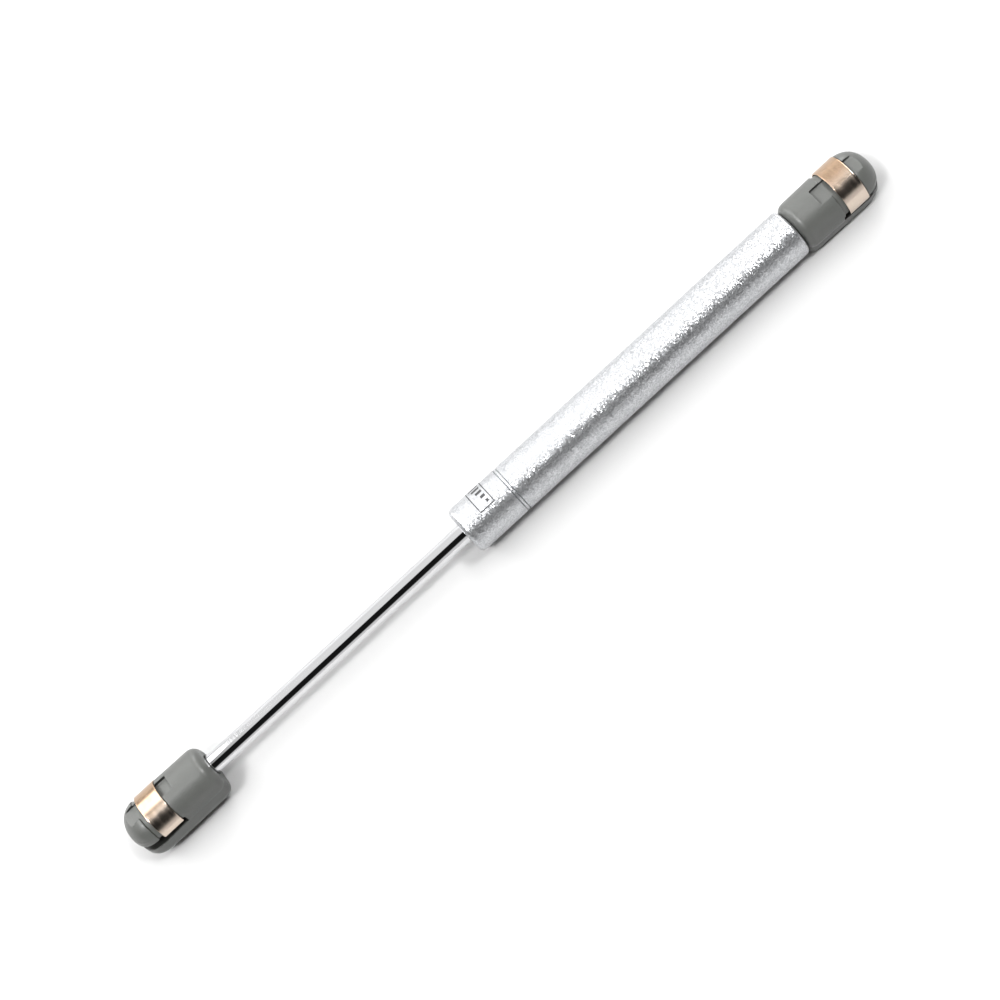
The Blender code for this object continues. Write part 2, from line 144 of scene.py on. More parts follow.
# %% Rings to mesh
def merged(mesh, distance=1e-7):
    """Merges doubles in a closed mesh and points its faces outwards."""
    shape = bmesh.new()
    shape.from_mesh(mesh)
    bmesh.ops.remove_doubles(shape, verts=shape.verts, dist=distance)
    bmesh.ops.recalc_face_normals(shape, faces=shape.faces)
    shape.to_mesh(mesh)
    shape.free()


def from_rings(name, rings, closed=False):
    """Joins an (n, m, 3) array of rings into a skin.

    Face (i, j) has the corners (i, j), (i, j+1), (i+1, j+1) and (i+1, j), counting round. With
    closed, the last ring also joins the first. Otherwise each end ring is filled by one face.
    """
    count, around = rings.shape[:2]
    row = np.arange(count if closed else count - 1)[:, None]
    column = np.arange(around)[None, :]
    next_row, next_column = (row + 1) % count, (column + 1) % around
    corners = (
        row * around + column,
        row * around + next_column,
        next_row * around + next_column,
        next_row * around + column,
    )
    faces = np.stack(corners, axis=-1).reshape(-1, 4).tolist()
    if not closed:
        faces += [list(range(around))[::-1], list(range((count - 1) * around, count * around))]
    mesh = bpy.data.meshes.new(name)
    mesh.from_pydata(rings.reshape(-1, 3), [], faces)
    merged(mesh)
    made = bpy.data.objects.new(name, mesh)
    bpy.context.scene.collection.objects.link(made)
    return made


def shade(piece, sharp=40):
    """Smooth shading that leaves edges sharper than an angle, in degrees, crisp."""
    piece.data.shade_smooth()
    piece.data.set_sharp_from_angle(angle=math.radians(sharp))
    return piece


# %% [markdown]
# A turned piece is an outline spun about the X axis. Real turned and rolled edges are never
# perfectly sharp, so the outline's corners are rounded first: each corner is swapped for an arc
# that touches both of its sides.


# %% Rounded outlines and turned pieces
def rounded(outline, radii, steps=6, closed=True):
    """Rounds the corners of an outline of (along, out) points.

    A corner P lies between unit directions a and b towards its neighbours, at an angle w. The arc
    of radius r has its centre at P + (a + b) / |a + b| * r / sin(w / 2) and touches the sides
    r / tan(w / 2) from P. Its points turn evenly from one touching point to the other.
    """
    points = np.array(outline, float)
    radius = np.broadcast_to(np.array(radii, float), len(points))[:, None]
    before = np.roll(points, 1, axis=0) - points
    after = np.roll(points, -1, axis=0) - points
    before /= np.linalg.norm(before, axis=1, keepdims=True)
    after /= np.linalg.norm(after, axis=1, keepdims=True)
    cosine = np.clip((before * after).sum(1, keepdims=True), -1, 1)
    half = np.arccos(cosine) / 2
    middle = before + after
    middle /= np.maximum(np.linalg.norm(middle, axis=1, keepdims=True), 1e-12)
    centre = points + middle * radius / np.sin(half)
    start = points + before * radius / np.tan(half) - centre
    end = points + after * radius / np.tan(half) - centre
    turn = (math.pi - 2 * half)[:, None, :]
    share = np.linspace(0, 1, steps)[None, :, None]
    arcs = np.sin((1 - share) * turn) * start[:, None] + np.sin(share * turn) * end[:, None]
    arcs = centre[:, None] + arcs / np.sin(turn)
    if not closed:
        arcs[0], arcs[-1] = points[0], points[-1]
    return arcs.reshape(-1, 2)


def with_margins(outline, closed=True, gap=0.15 * MM):
    """Adds a point near both ends of every side over five gaps long, so its middle is shaded flat.

    The points lie gap from the side's ends P and Q: P + gap * u and Q - gap * u, where u is the
    unit direction from P to Q.
    """
    points = np.array(outline, float)
    after = np.roll(points, -1, axis=0) if closed else np.concatenate([points[1:], points[-1:]])
    kept = []
    for start, end in zip(points, after):
        length = np.linalg.norm(end - start)
        kept.append(start)
        if length > 5 * gap:
            unit = (end - start) / length
            kept += [start + gap * unit, end - gap * unit]
    return np.array(kept)


def turned(name, outline, sides=128, closed=True):
    """Spins (along, out) points about X: a point goes to (along, out sin t, out cos t)."""
    outline = with_margins(outline, closed)
    turn = np.linspace(0, math.tau, sides, endpoint=False)[None, :]
    x, radius = outline[:, :1], outline[:, 1:]
    rings = np.stack([x + 0 * turn, radius * np.sin(turn), radius * np.cos(turn)], axis=-1)
    return shade(from_rings(name, rings, closed))


# %% [markdown]
# ## The finishes
#
# A finish is a small network of shader nodes. A few helpers keep each recipe short: one makes a
# material with a Principled shader, one adds a node and sets its values, and the rest add the kinds
# of node that several finishes share.


# %% Material helpers
def finish(name, colour, roughness, metallic=0.0):
    """A material whose even values sit on the shader itself. Returns it with its shader."""
    made = bpy.data.materials.new(name)
    made.use_nodes = True
    shader = made.node_tree.nodes["Principled BSDF"]
    shader.inputs["Base Color"].default_value = (*colour, 1)
    shader.inputs["Roughness"].default_value = roughness
    shader.inputs["Metallic"].default_value = metallic
    return made, shader


def node(material, kind, links=(), **values):
    """Adds a node to a material or a world, with its properties or inputs set to the values.

    links are (input, output it takes its value from) pairs.
    """
    made = material.node_tree.nodes.new(kind)
    for key, value in values.items():
        if hasattr(made, key):
            setattr(made, key, value)
        else:
            made.inputs[key.replace("_", " ")].default_value = value
    for target, source in links:
        material.node_tree.links.new(source, made.inputs[target])
    return made


def link(material, source, target, socket):
    """Joins one node's output to an input of another node, the target."""
    material.node_tree.links.new(source, target.inputs[socket])


def own_place(material, scale=(1, 1, 1)):
    """Object coordinates, stretched by a scale on each axis."""
    place = node(material, "ShaderNodeTexCoord")
    links = [("Vector", place.outputs["Object"])]
    return node(material, "ShaderNodeMapping", links, Scale=scale).outputs["Vector"]


def noise(material, vector, scale, detail=2.0, roughness=0.5):
    """A soft 0 to 1 pattern with about scale lumps to the metre."""
    links = [("Vector", vector)]
    made = node(material, "ShaderNodeTexNoise", links, Scale=scale, Detail=detail, Roughness=roughness)
    return made.outputs["Fac"]


def spread(material, source, low, high, start=0.3, end=0.7):
    """Carries a 0 to 1 pattern to a range of values."""
    values = {"From_Min": start, "From_Max": end, "To_Min": low, "To_Max": high}
    return node(material, "ShaderNodeMapRange", [("Value", source)], **values).outputs["Result"]


def between(material, source, first, second):
    """Blends by a 0 to 1 pattern from the first to the second, each a colour or an output."""
    made = node(material, "ShaderNodeMix", [("Factor", source)], data_type="RGBA")
    for socket, colour in (("A", first), ("B", second)):
        if isinstance(colour, tuple):
            made.inputs[socket].default_value = (*colour, 1)
        else:
            link(material, colour, made, socket)
    return next(out for out in made.outputs if out.type == "RGBA")


def bump(material, height, distance, strength=1.0):
    """Normals that lean as if the 0 to 1 pattern stood distance high."""
    links = [("Height", height)]
    return node(material, "ShaderNodeBump", links, Distance=distance, Strength=strength).outputs["Normal"]


# %% [markdown]
# ### Silver paint
#
# The tube's paint has metal flakes in it. Each flake lies at its own small tilt, so where bright
# and dark reflections meet, the edge breaks up into fine speckle. A Voronoi pattern gives every
# flake one random colour. Used as a direction, that colour tilts the surface's normal a little.
# Its red part also makes one flake brighter than the next.


# %% Silver paint
FLAKES_PER_METRE, FLAKE_TILT = 3100.0, 0.28


def silver_paint():
    """Metal flakes in grey paint, each with its own tilt and brightness, softly blurred."""
    made, shader = finish("silver_paint", (0.5, 0.505, 0.515), 0.36, 0.9)
    place = own_place(made)
    flakes = node(made, "ShaderNodeTexVoronoi", [("Vector", place)], Scale=FLAKES_PER_METRE)
    colour = flakes.outputs["Color"]
    centred = node(made, "ShaderNodeVectorMath", [(0, colour)], operation="SUBTRACT")
    centred.inputs[1].default_value = (0.5, 0.5, 0.5)
    tilt = node(made, "ShaderNodeVectorMath", [(0, centred.outputs[0])], operation="SCALE")
    tilt.inputs["Scale"].default_value = FLAKE_TILT
    normal = node(made, "ShaderNodeNewGeometry").outputs["Normal"]
    tilted = node(made, "ShaderNodeVectorMath", [(0, normal), (1, tilt.outputs[0])], operation="ADD")
    unit = node(made, "ShaderNodeVectorMath", [(0, tilted.outputs[0])], operation="NORMALIZE")
    link(made, unit.outputs[0], shader, "Normal")
    shine = node(made, "ShaderNodeSeparateColor", [("Color", colour)]).outputs["Red"]
    link(made, between(made, shine, (0.37, 0.377, 0.39), (0.6, 0.607, 0.62)), shader, "Base Color")
    cloud = noise(made, place, 900.0, 3.0)
    link(made, spread(made, cloud, 0.28, 0.35), shader, "Roughness")
    return made


# %% [markdown]
# ### Chrome, spring steel and zinc
#
# The rod is ground before it is chromed, which leaves faint lines round it. The clips are sprung
# steel with a warm, coppery tone. Their colour is paler on the near side (-Y) than on the far one,
# which is painted reflection: the near side mirrors the bright floor. A soft noise, an uneven stain,
# makes the change uneven. Their fine rolling lines run round the band. The hidden fittings are zinc
# plated, with a cloudy dullness.


# %% Metals
# PALE_AT and WARM_AT bound the clips' painted reflection: pale towards -Y, coppery towards +Y.
STAIN, PALE_AT, WARM_AT = 6 * MM, -1 * MM, 5 * MM


def hard_chrome():
    """Nearly a mirror, with fine grinding lines that run round the bar."""
    made, shader = finish("hard_chrome", (0.68, 0.68, 0.69), 0.05, 1.0)
    lines = noise(made, own_place(made, (1.0, 0.02, 0.02)), 3000.0, 2.0)
    link(made, spread(made, lines, 0.03, 0.08), shader, "Roughness")
    link(made, bump(made, lines, 0.000001, 0.4), shader, "Normal")
    return made


def clip_steel():
    """Warm rolled steel, painted pale towards -Y as a painted reflection of the floor and coppery towards
    +Y, shifted by an uneven stain.
    """
    made, shader = finish("clip_steel", (0.5, 0.4, 0.31), 0.2, 1.0)
    lines = noise(made, own_place(made, (1.0, 0.04, 0.04)), 3500.0, 3.0)
    place = own_place(made)
    across = node(made, "ShaderNodeSeparateXYZ", [("Vector", place)]).outputs["Y"]
    stain = noise(made, place, 160.0, 3.0)
    # Painted reflection: the colour turns pale towards -Y, where the clip mirrors the bright floor; the
    # noise adds a real uneven stain.
    stain_and_painted_reflection = node(made, "ShaderNodeMath", [(0, stain), (2, across)], operation="MULTIPLY_ADD")
    stain_and_painted_reflection.inputs[1].default_value = STAIN
    tone = spread(made, stain_and_painted_reflection.outputs[0], 0, 1, PALE_AT, WARM_AT)
    link(made, between(made, tone, (0.61, 0.515, 0.435), (0.5, 0.35, 0.24)), shader, "Base Color")
    link(made, spread(made, lines, 0.14, 0.26), shader, "Roughness")
    link(made, bump(made, lines, 0.000004, 0.35), shader, "Normal")
    return made


def zinc_plate():
    """Dull grey metal, cloudy in its colour and its roughness."""
    made, shader = finish("zinc_plate", (0.5, 0.5, 0.51), 0.35, 1.0)
    cloud = noise(made, own_place(made), 700.0, 4.0)
    link(made, between(made, cloud, (0.42, 0.42, 0.44), (0.6, 0.6, 0.6)), shader, "Base Color")
    link(made, spread(made, cloud, 0.28, 0.45), shader, "Roughness")
    return made


# %% [markdown]
# ### Plastic and rubber
#
# The sockets are moulded nylon: a warm grey with a satin, very slightly pebbled skin. Two sizes of
# noise give the pebble and a faint mottling. Narrow cuts in such a socket look almost black, so
# their walls get painted shade: a colour near black in place of the skin's. A vertex value, written
# when the sockets are made, tells the finish where to paint that shade. The seals are black nitrile
# rubber, and the guide is a pale bearing resin.


# %% Plastics and rubber
def moulded_nylon():
    """Mottled warm grey with a fine pebble, and painted shade, almost black, on the walls of the cuts."""
    made, shader = finish("moulded_nylon", (0.078, 0.0805, 0.0755), 0.4)
    place = own_place(made)
    pebble = noise(made, place, 2200.0, 3.0)
    mottle = noise(made, place, 240.0, 4.0)
    painted_recess_shade = node(made, "ShaderNodeAttribute", attribute_name="painted_recess_shade").outputs["Fac"]
    skin = between(made, mottle, (0.07, 0.0725, 0.0675), (0.086, 0.0885, 0.0835))
    # Painted shade: the walls of the narrow cuts are coloured near black for the dark inside them.
    link(made, between(made, painted_recess_shade, skin, (0.012, 0.012, 0.011)), shader, "Base Color")
    link(made, spread(made, pebble, 0.3, 0.46), shader, "Roughness")
    link(made, bump(made, pebble, 0.00005, 0.7), shader, "Normal")
    return made


def nitrile_rubber():
    """Black with a fine grain."""
    made, shader = finish("nitrile_rubber", (0.018, 0.018, 0.019), 0.55)
    grain = noise(made, own_place(made), 3000.0, 2.0)
    link(made, between(made, grain, (0.014, 0.014, 0.015), (0.026, 0.026, 0.027)), shader, "Base Color")
    link(made, bump(made, grain, 0.00002, 0.5), shader, "Normal")
    return made


def bearing_resin():
    """Pale and slightly cloudy."""
    made, shader = finish("bearing_resin", (0.66, 0.63, 0.54), 0.4)
    cloud = noise(made, own_place(made), 500.0, 3.0)
    link(made, between(made, cloud, (0.62, 0.59, 0.5), (0.7, 0.67, 0.59)), shader, "Base Color")
    link(made, bump(made, cloud, 0.00002, 0.4), shader, "Normal")
    return made


def black_ink():
    """Flat black with a fine grain."""
    made, shader = finish("black_ink", (0.02, 0.02, 0.022), 0.5)
    grain = noise(made, own_place(made), 6000.0, 2.0)
    link(made, between(made, grain, (0.015, 0.015, 0.017), (0.04, 0.04, 0.042)), shader, "Base Color")
    return made


PAINT, CHROME, CLIP_STEEL, ZINC = silver_paint(), hard_chrome(), clip_steel(), zinc_plate()
NYLON, RUBBER, RESIN, INK = moulded_nylon(), nitrile_rubber(), bearing_resin(), black_ink()
print("finishes:", [material.name for material in bpy.data.materials])

# %% [markdown]
# ## The hidden pieces
#
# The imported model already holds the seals, the guide, the plug and the piston in their right
# shapes. They keep their meshes and only get their finishes.

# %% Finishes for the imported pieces
slot_finish = {
    "tube_paint": PAINT,
    "rod_chrome": CHROME,
    "head_plastic": NYLON,
    "clip_steel": CLIP_STEEL,
    "seal_rubber": RUBBER,
    "guide_resin": RESIN,
    "zinc_plate": ZINC,
}
for part in frame["record"]["subparts"]:
    packed = bpy.data.objects[part["node"]]
    packed.data.materials.clear()
    packed.data.materials.append(slot_finish[part["material_slot"]])


# %% Hand a new piece over
def settle(piece, material, body, node_name=None):
    """Gives a new piece its finish and its body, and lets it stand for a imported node."""
    piece.data.materials.clear()
    piece.data.materials.append(material)
    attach(piece, body)
    if node_name:
        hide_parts(node_name)
    print(piece.name, "has", len(piece.data.polygons), "faces and rides on", body)
    return piece


# %% [markdown]
# ## The pressure tube
#
# The tube is drawn steel. Its front edge is rolled over in a soft bend that holds the guide in, and
# its rear edge closes on the plug. A shallow groove is rolled into it all round, 18 mm from the
# front, and makes a bead inside that the seal pack leans on. Outside it shows as two scored lines.
# One outline, spun about the axis, gives all of it.

# %% Pressure tube
WALL = 1.2 * MM
LIP = 1.1 * MM
FRONT_HOLE_R, REAR_HOLE_R = 4.6 * MM, 5.2 * MM
BEAD = TUBE_FRONT + 17.85 * MM
BEAD_HALF, BEAD_DEPTH, BEAD_STEP, SCORE = 0.48 * MM, 0.5 * MM, 0.1 * MM, 0.16 * MM
BORE_R, BEAD_RISE = TUBE_R - WALL, 0.3 * MM


def tube_outline():
    """The tube's wall as a closed outline, with a radius for each corner."""
    corners = [
        (TUBE_FRONT, FRONT_HOLE_R, 0.3),
        (TUBE_FRONT, TUBE_R, 1.75),
        (BEAD - BEAD_HALF - SCORE, TUBE_R, 0.06),
        (BEAD - BEAD_HALF, TUBE_R - BEAD_DEPTH, 0.03),
        (BEAD - BEAD_HALF + SCORE, TUBE_R - BEAD_STEP, 0.06),
        (BEAD + BEAD_HALF - SCORE, TUBE_R - BEAD_STEP, 0.06),
        (BEAD + BEAD_HALF, TUBE_R - BEAD_DEPTH, 0.03),
        (BEAD + BEAD_HALF + SCORE, TUBE_R, 0.06),
        (TUBE_REAR, TUBE_R, 1.0),
        (TUBE_REAR, REAR_HOLE_R, 0.25),
        (TUBE_REAR - LIP, REAR_HOLE_R, 0.2),
        (TUBE_REAR - LIP, BORE_R, 0.2),
        (BEAD + BEAD_HALF + SCORE, BORE_R, 0.12),
        (BEAD + 0.5 * BEAD_HALF, BORE_R - BEAD_RISE, 0.12),
        (BEAD - 0.5 * BEAD_HALF, BORE_R - BEAD_RISE, 0.12),
        (BEAD - BEAD_HALF - SCORE, BORE_R, 0.12),
        (TUBE_FRONT + LIP, BORE_R, 0.3),
        (TUBE_FRONT + LIP, FRONT_HOLE_R, 0.3),
    ]
    table = np.array(corners)
    return rounded(table[:, :2], table[:, 2] * MM, steps=9)


settle(turned("tube_shell", tube_outline(), sides=192), PAINT, "tube", "pressure_tube")

# %% [markdown]
# ## The rod
#
# The rod is one bar: a threaded end that screws into its socket, a long ground and chromed stretch,
# and a thin spigot inside the tube that carries the piston and is riveted over behind it.

# %% Piston rod
washer_low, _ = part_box("piston_front_washer")
_, rear_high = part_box("piston_rear_washer")
THREAD_R, SPIGOT_R = 2.4 * MM, 2.0 * MM
ROD_SEAT, WASHER_GAP = 1.2 * MM, 0.2 * MM


def rod_outline():
    """The rod from its threaded tip to its rivet head, as an open outline that ends on the axis."""
    seat = ROD_HEAD_FACE - ROD_SEAT
    shoulder = washer_low[0] - WASHER_GAP
    rivet = rear_high[0] + WASHER_GAP
    corners = [
        (rod_low[0], 0, 0.01),
        (rod_low[0], THREAD_R, 0.5),
        (seat, THREAD_R, 0.05),
        (seat, ROD_R, 0.3),
        (shoulder, ROD_R, 0.2),
        (shoulder, SPIGOT_R, 0.05),
        (rivet, SPIGOT_R, 0.05),
        (rivet, ROD_R, 0.1),
        (rod_high[0], ROD_R, 0.6),
        (rod_high[0], 0, 0.01),
    ]
    table = np.array(corners)
    return rounded(table[:, :2], table[:, 2] * MM, steps=7, closed=False)


settle(turned("chrome_rod", rod_outline(), closed=False), CHROME, "rod", "piston_rod")

# %% [markdown]
# ## The sockets
#
# Each socket is a moulded block with a round back and a dome at its tip. Its lower jaw is a little
# narrower and has a flat face where it sits on the bracket. To find its skin, rays go out from the
# axis at every station and angle. A ray ends where it leaves both the ball-ended bar and the jaw.
# The jaw has no simple formula along a ray, so its end is closed in on by halving.

# %% Socket sizes
HEAD_R = 7.8 * MM
JAW_R, JAW_BLUNT, DOME_BLUNT = 7.4 * MM, 2.6, 2.25
MOUTH_Z = -7.8 * MM
JAW_FILLET, JAW_TOP = 3.0 * MM, 2.0 * MM
NECK_FILLET = 2.8 * MM
TAPER = 0.025
GROOVE_LOW, GROOVE_HIGH = 6.6 * MM, 15.3 * MM
GROOVE_R, GROOVE_OUT = 7.3 * MM, 9.0 * MM
SLOT_FLOOR = -2.2 * MM
POCKET_HALF, POCKET_FLOOR, POCKET_END = 2.65 * MM, 6.2 * MM, 19.0 * MM
BALL_AT, BALL_Z, SOCKET_R = 10.9 * MM, 1.0 * MM, 4.15 * MM
MOUTH_R, FLARE = 5.5 * MM, 1.6 * MM
COUNTERBORE_R, COUNTERBORE_DEPTH = 3.5 * MM, 1.5 * MM
THREAD_HOLE_R, THREAD_HOLE_DEPTH = 2.65 * MM, 12.2 * MM


# %% Socket skin
DOME_STEPS, BODY_STEPS, NECK_STEPS = 40, 30, 14
RAY_END, HALVINGS = 12 * MM, 40


def in_jaw(ahead, y, z):
    """True where a point is inside the lower jaw.

    The jaw is an upright end, a little blunter than round: |ahead|^p + |y|^p = reach^p. Below the
    fillet's height its reach draws in along a quarter circle, down to the flat mouth face. ahead is
    the distance in front of the dome's foot, which lies HEAD_R from the tip.
    """
    drop = np.clip((MOUTH_Z + JAW_FILLET - z) / JAW_FILLET, 0, 1)
    reach = JAW_R - JAW_FILLET * (1 - np.sqrt(1 - drop**2))
    plan = (ahead**JAW_BLUNT + np.abs(y) ** JAW_BLUNT) ** (1 / JAW_BLUNT)
    return (z >= MOUTH_Z) & (z <= JAW_TOP) & (plan <= reach)


def in_dome(ahead, y, z):
    """True inside the bar and its dome: plan^2 + z^2 = R^2, with plan^p = |ahead|^p + |y|^p."""
    plan = (ahead**DOME_BLUNT + np.abs(y) ** DOME_BLUNT) ** (1 / DOME_BLUNT)
    return plan**2 + z**2 <= HEAD_R**2


def head_rings(length, around=160):
    """Rings of the socket's skin, from the tip (station 0) to the strut (station length).

    A ray leaves the axis square to it, at angle t from +Z. It ends where it has left both dome and
    jaw, found by halving. The neck's end is drawn in along a quarter circle, and behind the groove
    the back tapers a little towards the strut.
    """
    dome = HEAD_R * (1 - np.cos(np.linspace(0, math.pi / 2, DOME_STEPS)))
    neck = length - NECK_FILLET * (1 - np.sin(np.linspace(0, math.pi / 2, NECK_STEPS)))
    body = np.linspace(HEAD_R, length - NECK_FILLET, BODY_STEPS)[1:-1]
    station = np.concatenate([dome, body, neck, [length]])[:, None]
    turn = np.linspace(0, math.tau, around, endpoint=False)[None, :]
    ahead = np.maximum(0, HEAD_R - station)
    low = np.zeros((len(station), around))
    high = np.full_like(low, RAY_END)
    for _ in range(HALVINGS):
        middle = (low + high) / 2
        y, z = middle * np.sin(turn), middle * np.cos(turn)
        inside = in_jaw(ahead, y, z) | in_dome(ahead, y, z)
        low, high = np.where(inside, middle, low), np.where(inside, high, middle)
    past = np.maximum(0, station - (length - NECK_FILLET))
    radius = low - NECK_FILLET + np.sqrt(np.maximum(0, NECK_FILLET**2 - past**2))
    radius[-1] = 0
    shrink = 1 - TAPER * np.clip((station - GROOVE_HIGH) / (length - GROOVE_HIGH), 0, 1)
    y = radius * np.sin(turn) * shrink
    z = radius * np.cos(turn)
    z = np.where(z > 0, z * shrink, z)
    return np.stack([station + 0 * turn, y, z], axis=-1)


# %% [markdown]
# The groove for the clip, the pocket for a screwdriver's tip, the split between the jaws, the ball
# socket and the threaded hole are cut out with Booleans. Each cutter is a plain prism or a turned
# shape. The split opens a little towards the tip. Afterwards the block is remeshed very finely and
# smoothed a few times, which rounds every cut edge the way a mould does. It is all done before the
# socket is turned into place, while its edges still lie along the fine mesh's own directions.


# %% Cutters
def prism(name, outline, start, end, axes=(1, 2, 0)):
    """Carries an outline of points along an axis. axes are the outline's two and the way along."""
    outline = np.array(outline, float)
    rings = np.zeros((2, len(outline), 3))
    rings[..., axes[0]], rings[..., axes[1]] = outline[:, 0], outline[:, 1]
    rings[..., axes[2]] = np.array([start, end])[:, None]
    return from_rings(name, rings)


def box_outline(low, high):
    """The four corners of an upright rectangle, from its low corner round to its upper left."""
    return [(low[0], low[1]), (high[0], low[1]), (high[0], high[1]), (low[0], high[1])]


def split_outline():
    """The split between the jaws from the side, as (along, up) points."""
    corners = [(-1, -3.1), (15.8, -2.0), (15.8, 0.5), (6.0, 0.3), (-1, -1.0)]
    return np.array(corners) * MM


def half_ring(inner, outer, floor, steps=96):
    """The upper half of a ring as (y, z) points, with straight legs down to a floor."""
    turn = np.linspace(-math.pi / 2, math.pi / 2, steps)
    outside = np.stack([outer * np.sin(turn), outer * np.cos(turn)], axis=1)
    inside = np.stack([inner * np.sin(turn[::-1]), inner * np.cos(turn[::-1])], axis=1)
    right, left = [(outer, floor), (inner, floor)], [(-inner, floor), (-outer, floor)]
    return np.concatenate([outside, right, inside, left])


def socket_cutter():
    """The seat, bore and flared mouth, spun about X and then stood upright on the ball's centre."""
    turn = np.linspace(0, math.pi / 2, 24)
    seat = np.stack([SOCKET_R * np.cos(turn) + BALL_Z, SOCKET_R * np.sin(turn)], axis=1)
    slope = (MOUTH_R - SOCKET_R) / FLARE
    below = [(MOUTH_Z + FLARE, SOCKET_R), (MOUTH_Z - MM, MOUTH_R + slope * MM), (MOUTH_Z - MM, 0)]
    made = turned("socket_cutter", np.concatenate([seat, below]), closed=False)
    upright = Matrix(((0, 0, -1), (0, 1, 0), (1, 0, 0))).to_4x4()
    made.data.transform(Matrix.Translation((BALL_AT, 0, 0)) @ upright)
    return made


def thread_cutter(length):
    """The threaded hole and its wider counterbore, as a stepped outline spun about X."""
    outline = [
        (length - THREAD_HOLE_DEPTH, 0),
        (length - THREAD_HOLE_DEPTH, THREAD_HOLE_R),
        (length - COUNTERBORE_DEPTH, THREAD_HOLE_R),
        (length - COUNTERBORE_DEPTH, COUNTERBORE_R),
        (length + MM, COUNTERBORE_R),
        (length + MM, 0),
    ]
    return turned("thread_cutter", outline, closed=False)


# %% Socket block
VOXEL, CLEAR_OF_BLOCK = 0.15 * MM, 10 * MM


def take_evaluated(piece):
    """Replaces a piece's mesh by the one its modifiers make, and drops the modifiers."""
    bpy.context.view_layer.update()
    seen = piece.evaluated_get(bpy.context.evaluated_depsgraph_get())
    piece.data = bpy.data.meshes.new_from_object(seen)
    piece.modifiers.clear()


def mark_recesses(block, near=0.12 * MM):
    """Writes the vertex value for painted shade: 1 on the walls of split, pocket and groove, else 0.

    Of the split it is every vertex between its floor and its roof, which are lines along X. Of the
    pocket and the groove it is the vertices that lie near a wall, and under the skin.
    """
    places = np.empty(3 * len(block.data.vertices))
    block.data.vertices.foreach_get("co", places)
    x, y, z = places.reshape(-1, 3).T
    along, up = split_outline().T
    floor = np.interp(x, along[:2], up[:2])
    roof = np.interp(x, along[:1:-1], up[:1:-1])
    in_split = (x < along[1] + near) & (z > floor - near) & (z < roof + near)
    pocket_edge = np.minimum(np.abs(np.abs(y) - POCKET_HALF), np.abs(x - POCKET_END)) < near
    in_pocket = pocket_edge & (z > POCKET_FLOOR) & (np.abs(y) < POCKET_HALF + near)
    in_pocket &= (np.hypot(y, z) < HEAD_R - near) & (x < POCKET_END + near)
    groove_edge = np.minimum(np.abs(x - GROOVE_LOW), np.abs(x - GROOVE_HIGH)) < near
    in_groove = groove_edge & (z > SLOT_FLOOR) & (np.hypot(y, z) < HEAD_R - near)
    in_groove &= (np.abs(y) > POCKET_HALF) | (z < 0)
    # This value tells the nylon finish where to paint its near-black shade.
    marks = block.data.attributes.new("painted_recess_shade", "FLOAT", "POINT")
    marks.data.foreach_set("value", (in_split | in_pocket | in_groove).astype(float))


def head_block(name, length):
    """The socket in its own frame, cut and softened."""
    block = from_rings(name, head_rings(length))
    groove = half_ring(GROOVE_R, GROOVE_OUT, SLOT_FLOOR)
    pocket = box_outline((-POCKET_HALF, POCKET_FLOOR), (POCKET_HALF, CLEAR_OF_BLOCK))
    cutters = [
        prism("groove_cutter", groove, GROOVE_LOW, GROOVE_HIGH),
        prism("pocket_cutter", pocket, -MM, POCKET_END),
        prism("split_cutter", split_outline(), -CLEAR_OF_BLOCK, CLEAR_OF_BLOCK, axes=(0, 2, 1)),
        socket_cutter(),
        thread_cutter(length),
    ]
    for cutter in cutters:
        boolean = block.modifiers.new(cutter.name, "BOOLEAN")
        boolean.operation, boolean.solver, boolean.object = "DIFFERENCE", "EXACT", cutter
    take_evaluated(block)
    for cutter in cutters:
        bpy.data.objects.remove(cutter)
    remesh = block.modifiers.new("fine_skin", "REMESH")
    remesh.mode, remesh.voxel_size = "VOXEL", VOXEL
    soften = block.modifiers.new("soft_edges", "SMOOTH")
    soften.factor, soften.iterations = 0.5, 3
    take_evaluated(block)
    mark_recesses(block)
    return block


# %% [markdown]
# A socket is placed by three directions: along, from its tip to the strut; up, out of its back; and
# side, square to both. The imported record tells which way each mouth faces, and up is the opposite.
# The two sockets aren't in line: the rod turns freely, so its socket has come to rest at an angle.


# %% Put a socket in place
def end_frame(tip, toward, mouth_name):
    """The matrix that carries a socket's own frame into the strut's."""
    mounts = {mount["name"]: mount for mount in frame["record"]["mounts"]}
    up_way = -Vector(mounts[mouth_name]["axis"]).normalized()
    along_way = Vector((toward, 0, 0))
    side_way = up_way.cross(along_way)
    turn = Matrix((along_way, side_way, up_way)).transposed().to_4x4()
    return Matrix.Translation((tip, 0, 0)) @ turn


rod_end = end_frame(ROD_TIP, 1, "rod_end_mouth_face")
tube_end = end_frame(TUBE_TIP, -1, "tube_end_mouth_face")
for name, length, place, body, node_name in (
    ("rod_socket", ROD_HEAD_FACE - ROD_TIP, rod_end, "rod", "rod_end_head"),
    ("tube_socket", TUBE_TIP - TUBE_HEAD_FACE, tube_end, "tube", "tube_end_head"),
):
    socket = head_block(name, length)
    socket.data.transform(place)
    socket.data.shade_smooth()
    settle(socket, NYLON, body, node_name)

# %% [markdown]
# ## The safety clips
#
# Each clip is a strip of sprung steel, 7 mm wide and half a millimetre thick. It hugs the back of
# the socket in a half circle, and its ends turn in through the split to reach behind the ball.
# The strip's cross section, a rectangle with softened corners, is carried along that path.

# %% Safety clips
CLIP_R, GAUGE, CLIP_WIDTH = 7.5 * MM, 0.5 * MM, 7.0 * MM
TAB_TIP, TAB_Z = 3.8 * MM, -0.375 * MM
TAB_BEND = 0.55 * MM
ROD_CLIP_AT, TUBE_CLIP_AT = 8.1 * MM, 6.8 * MM


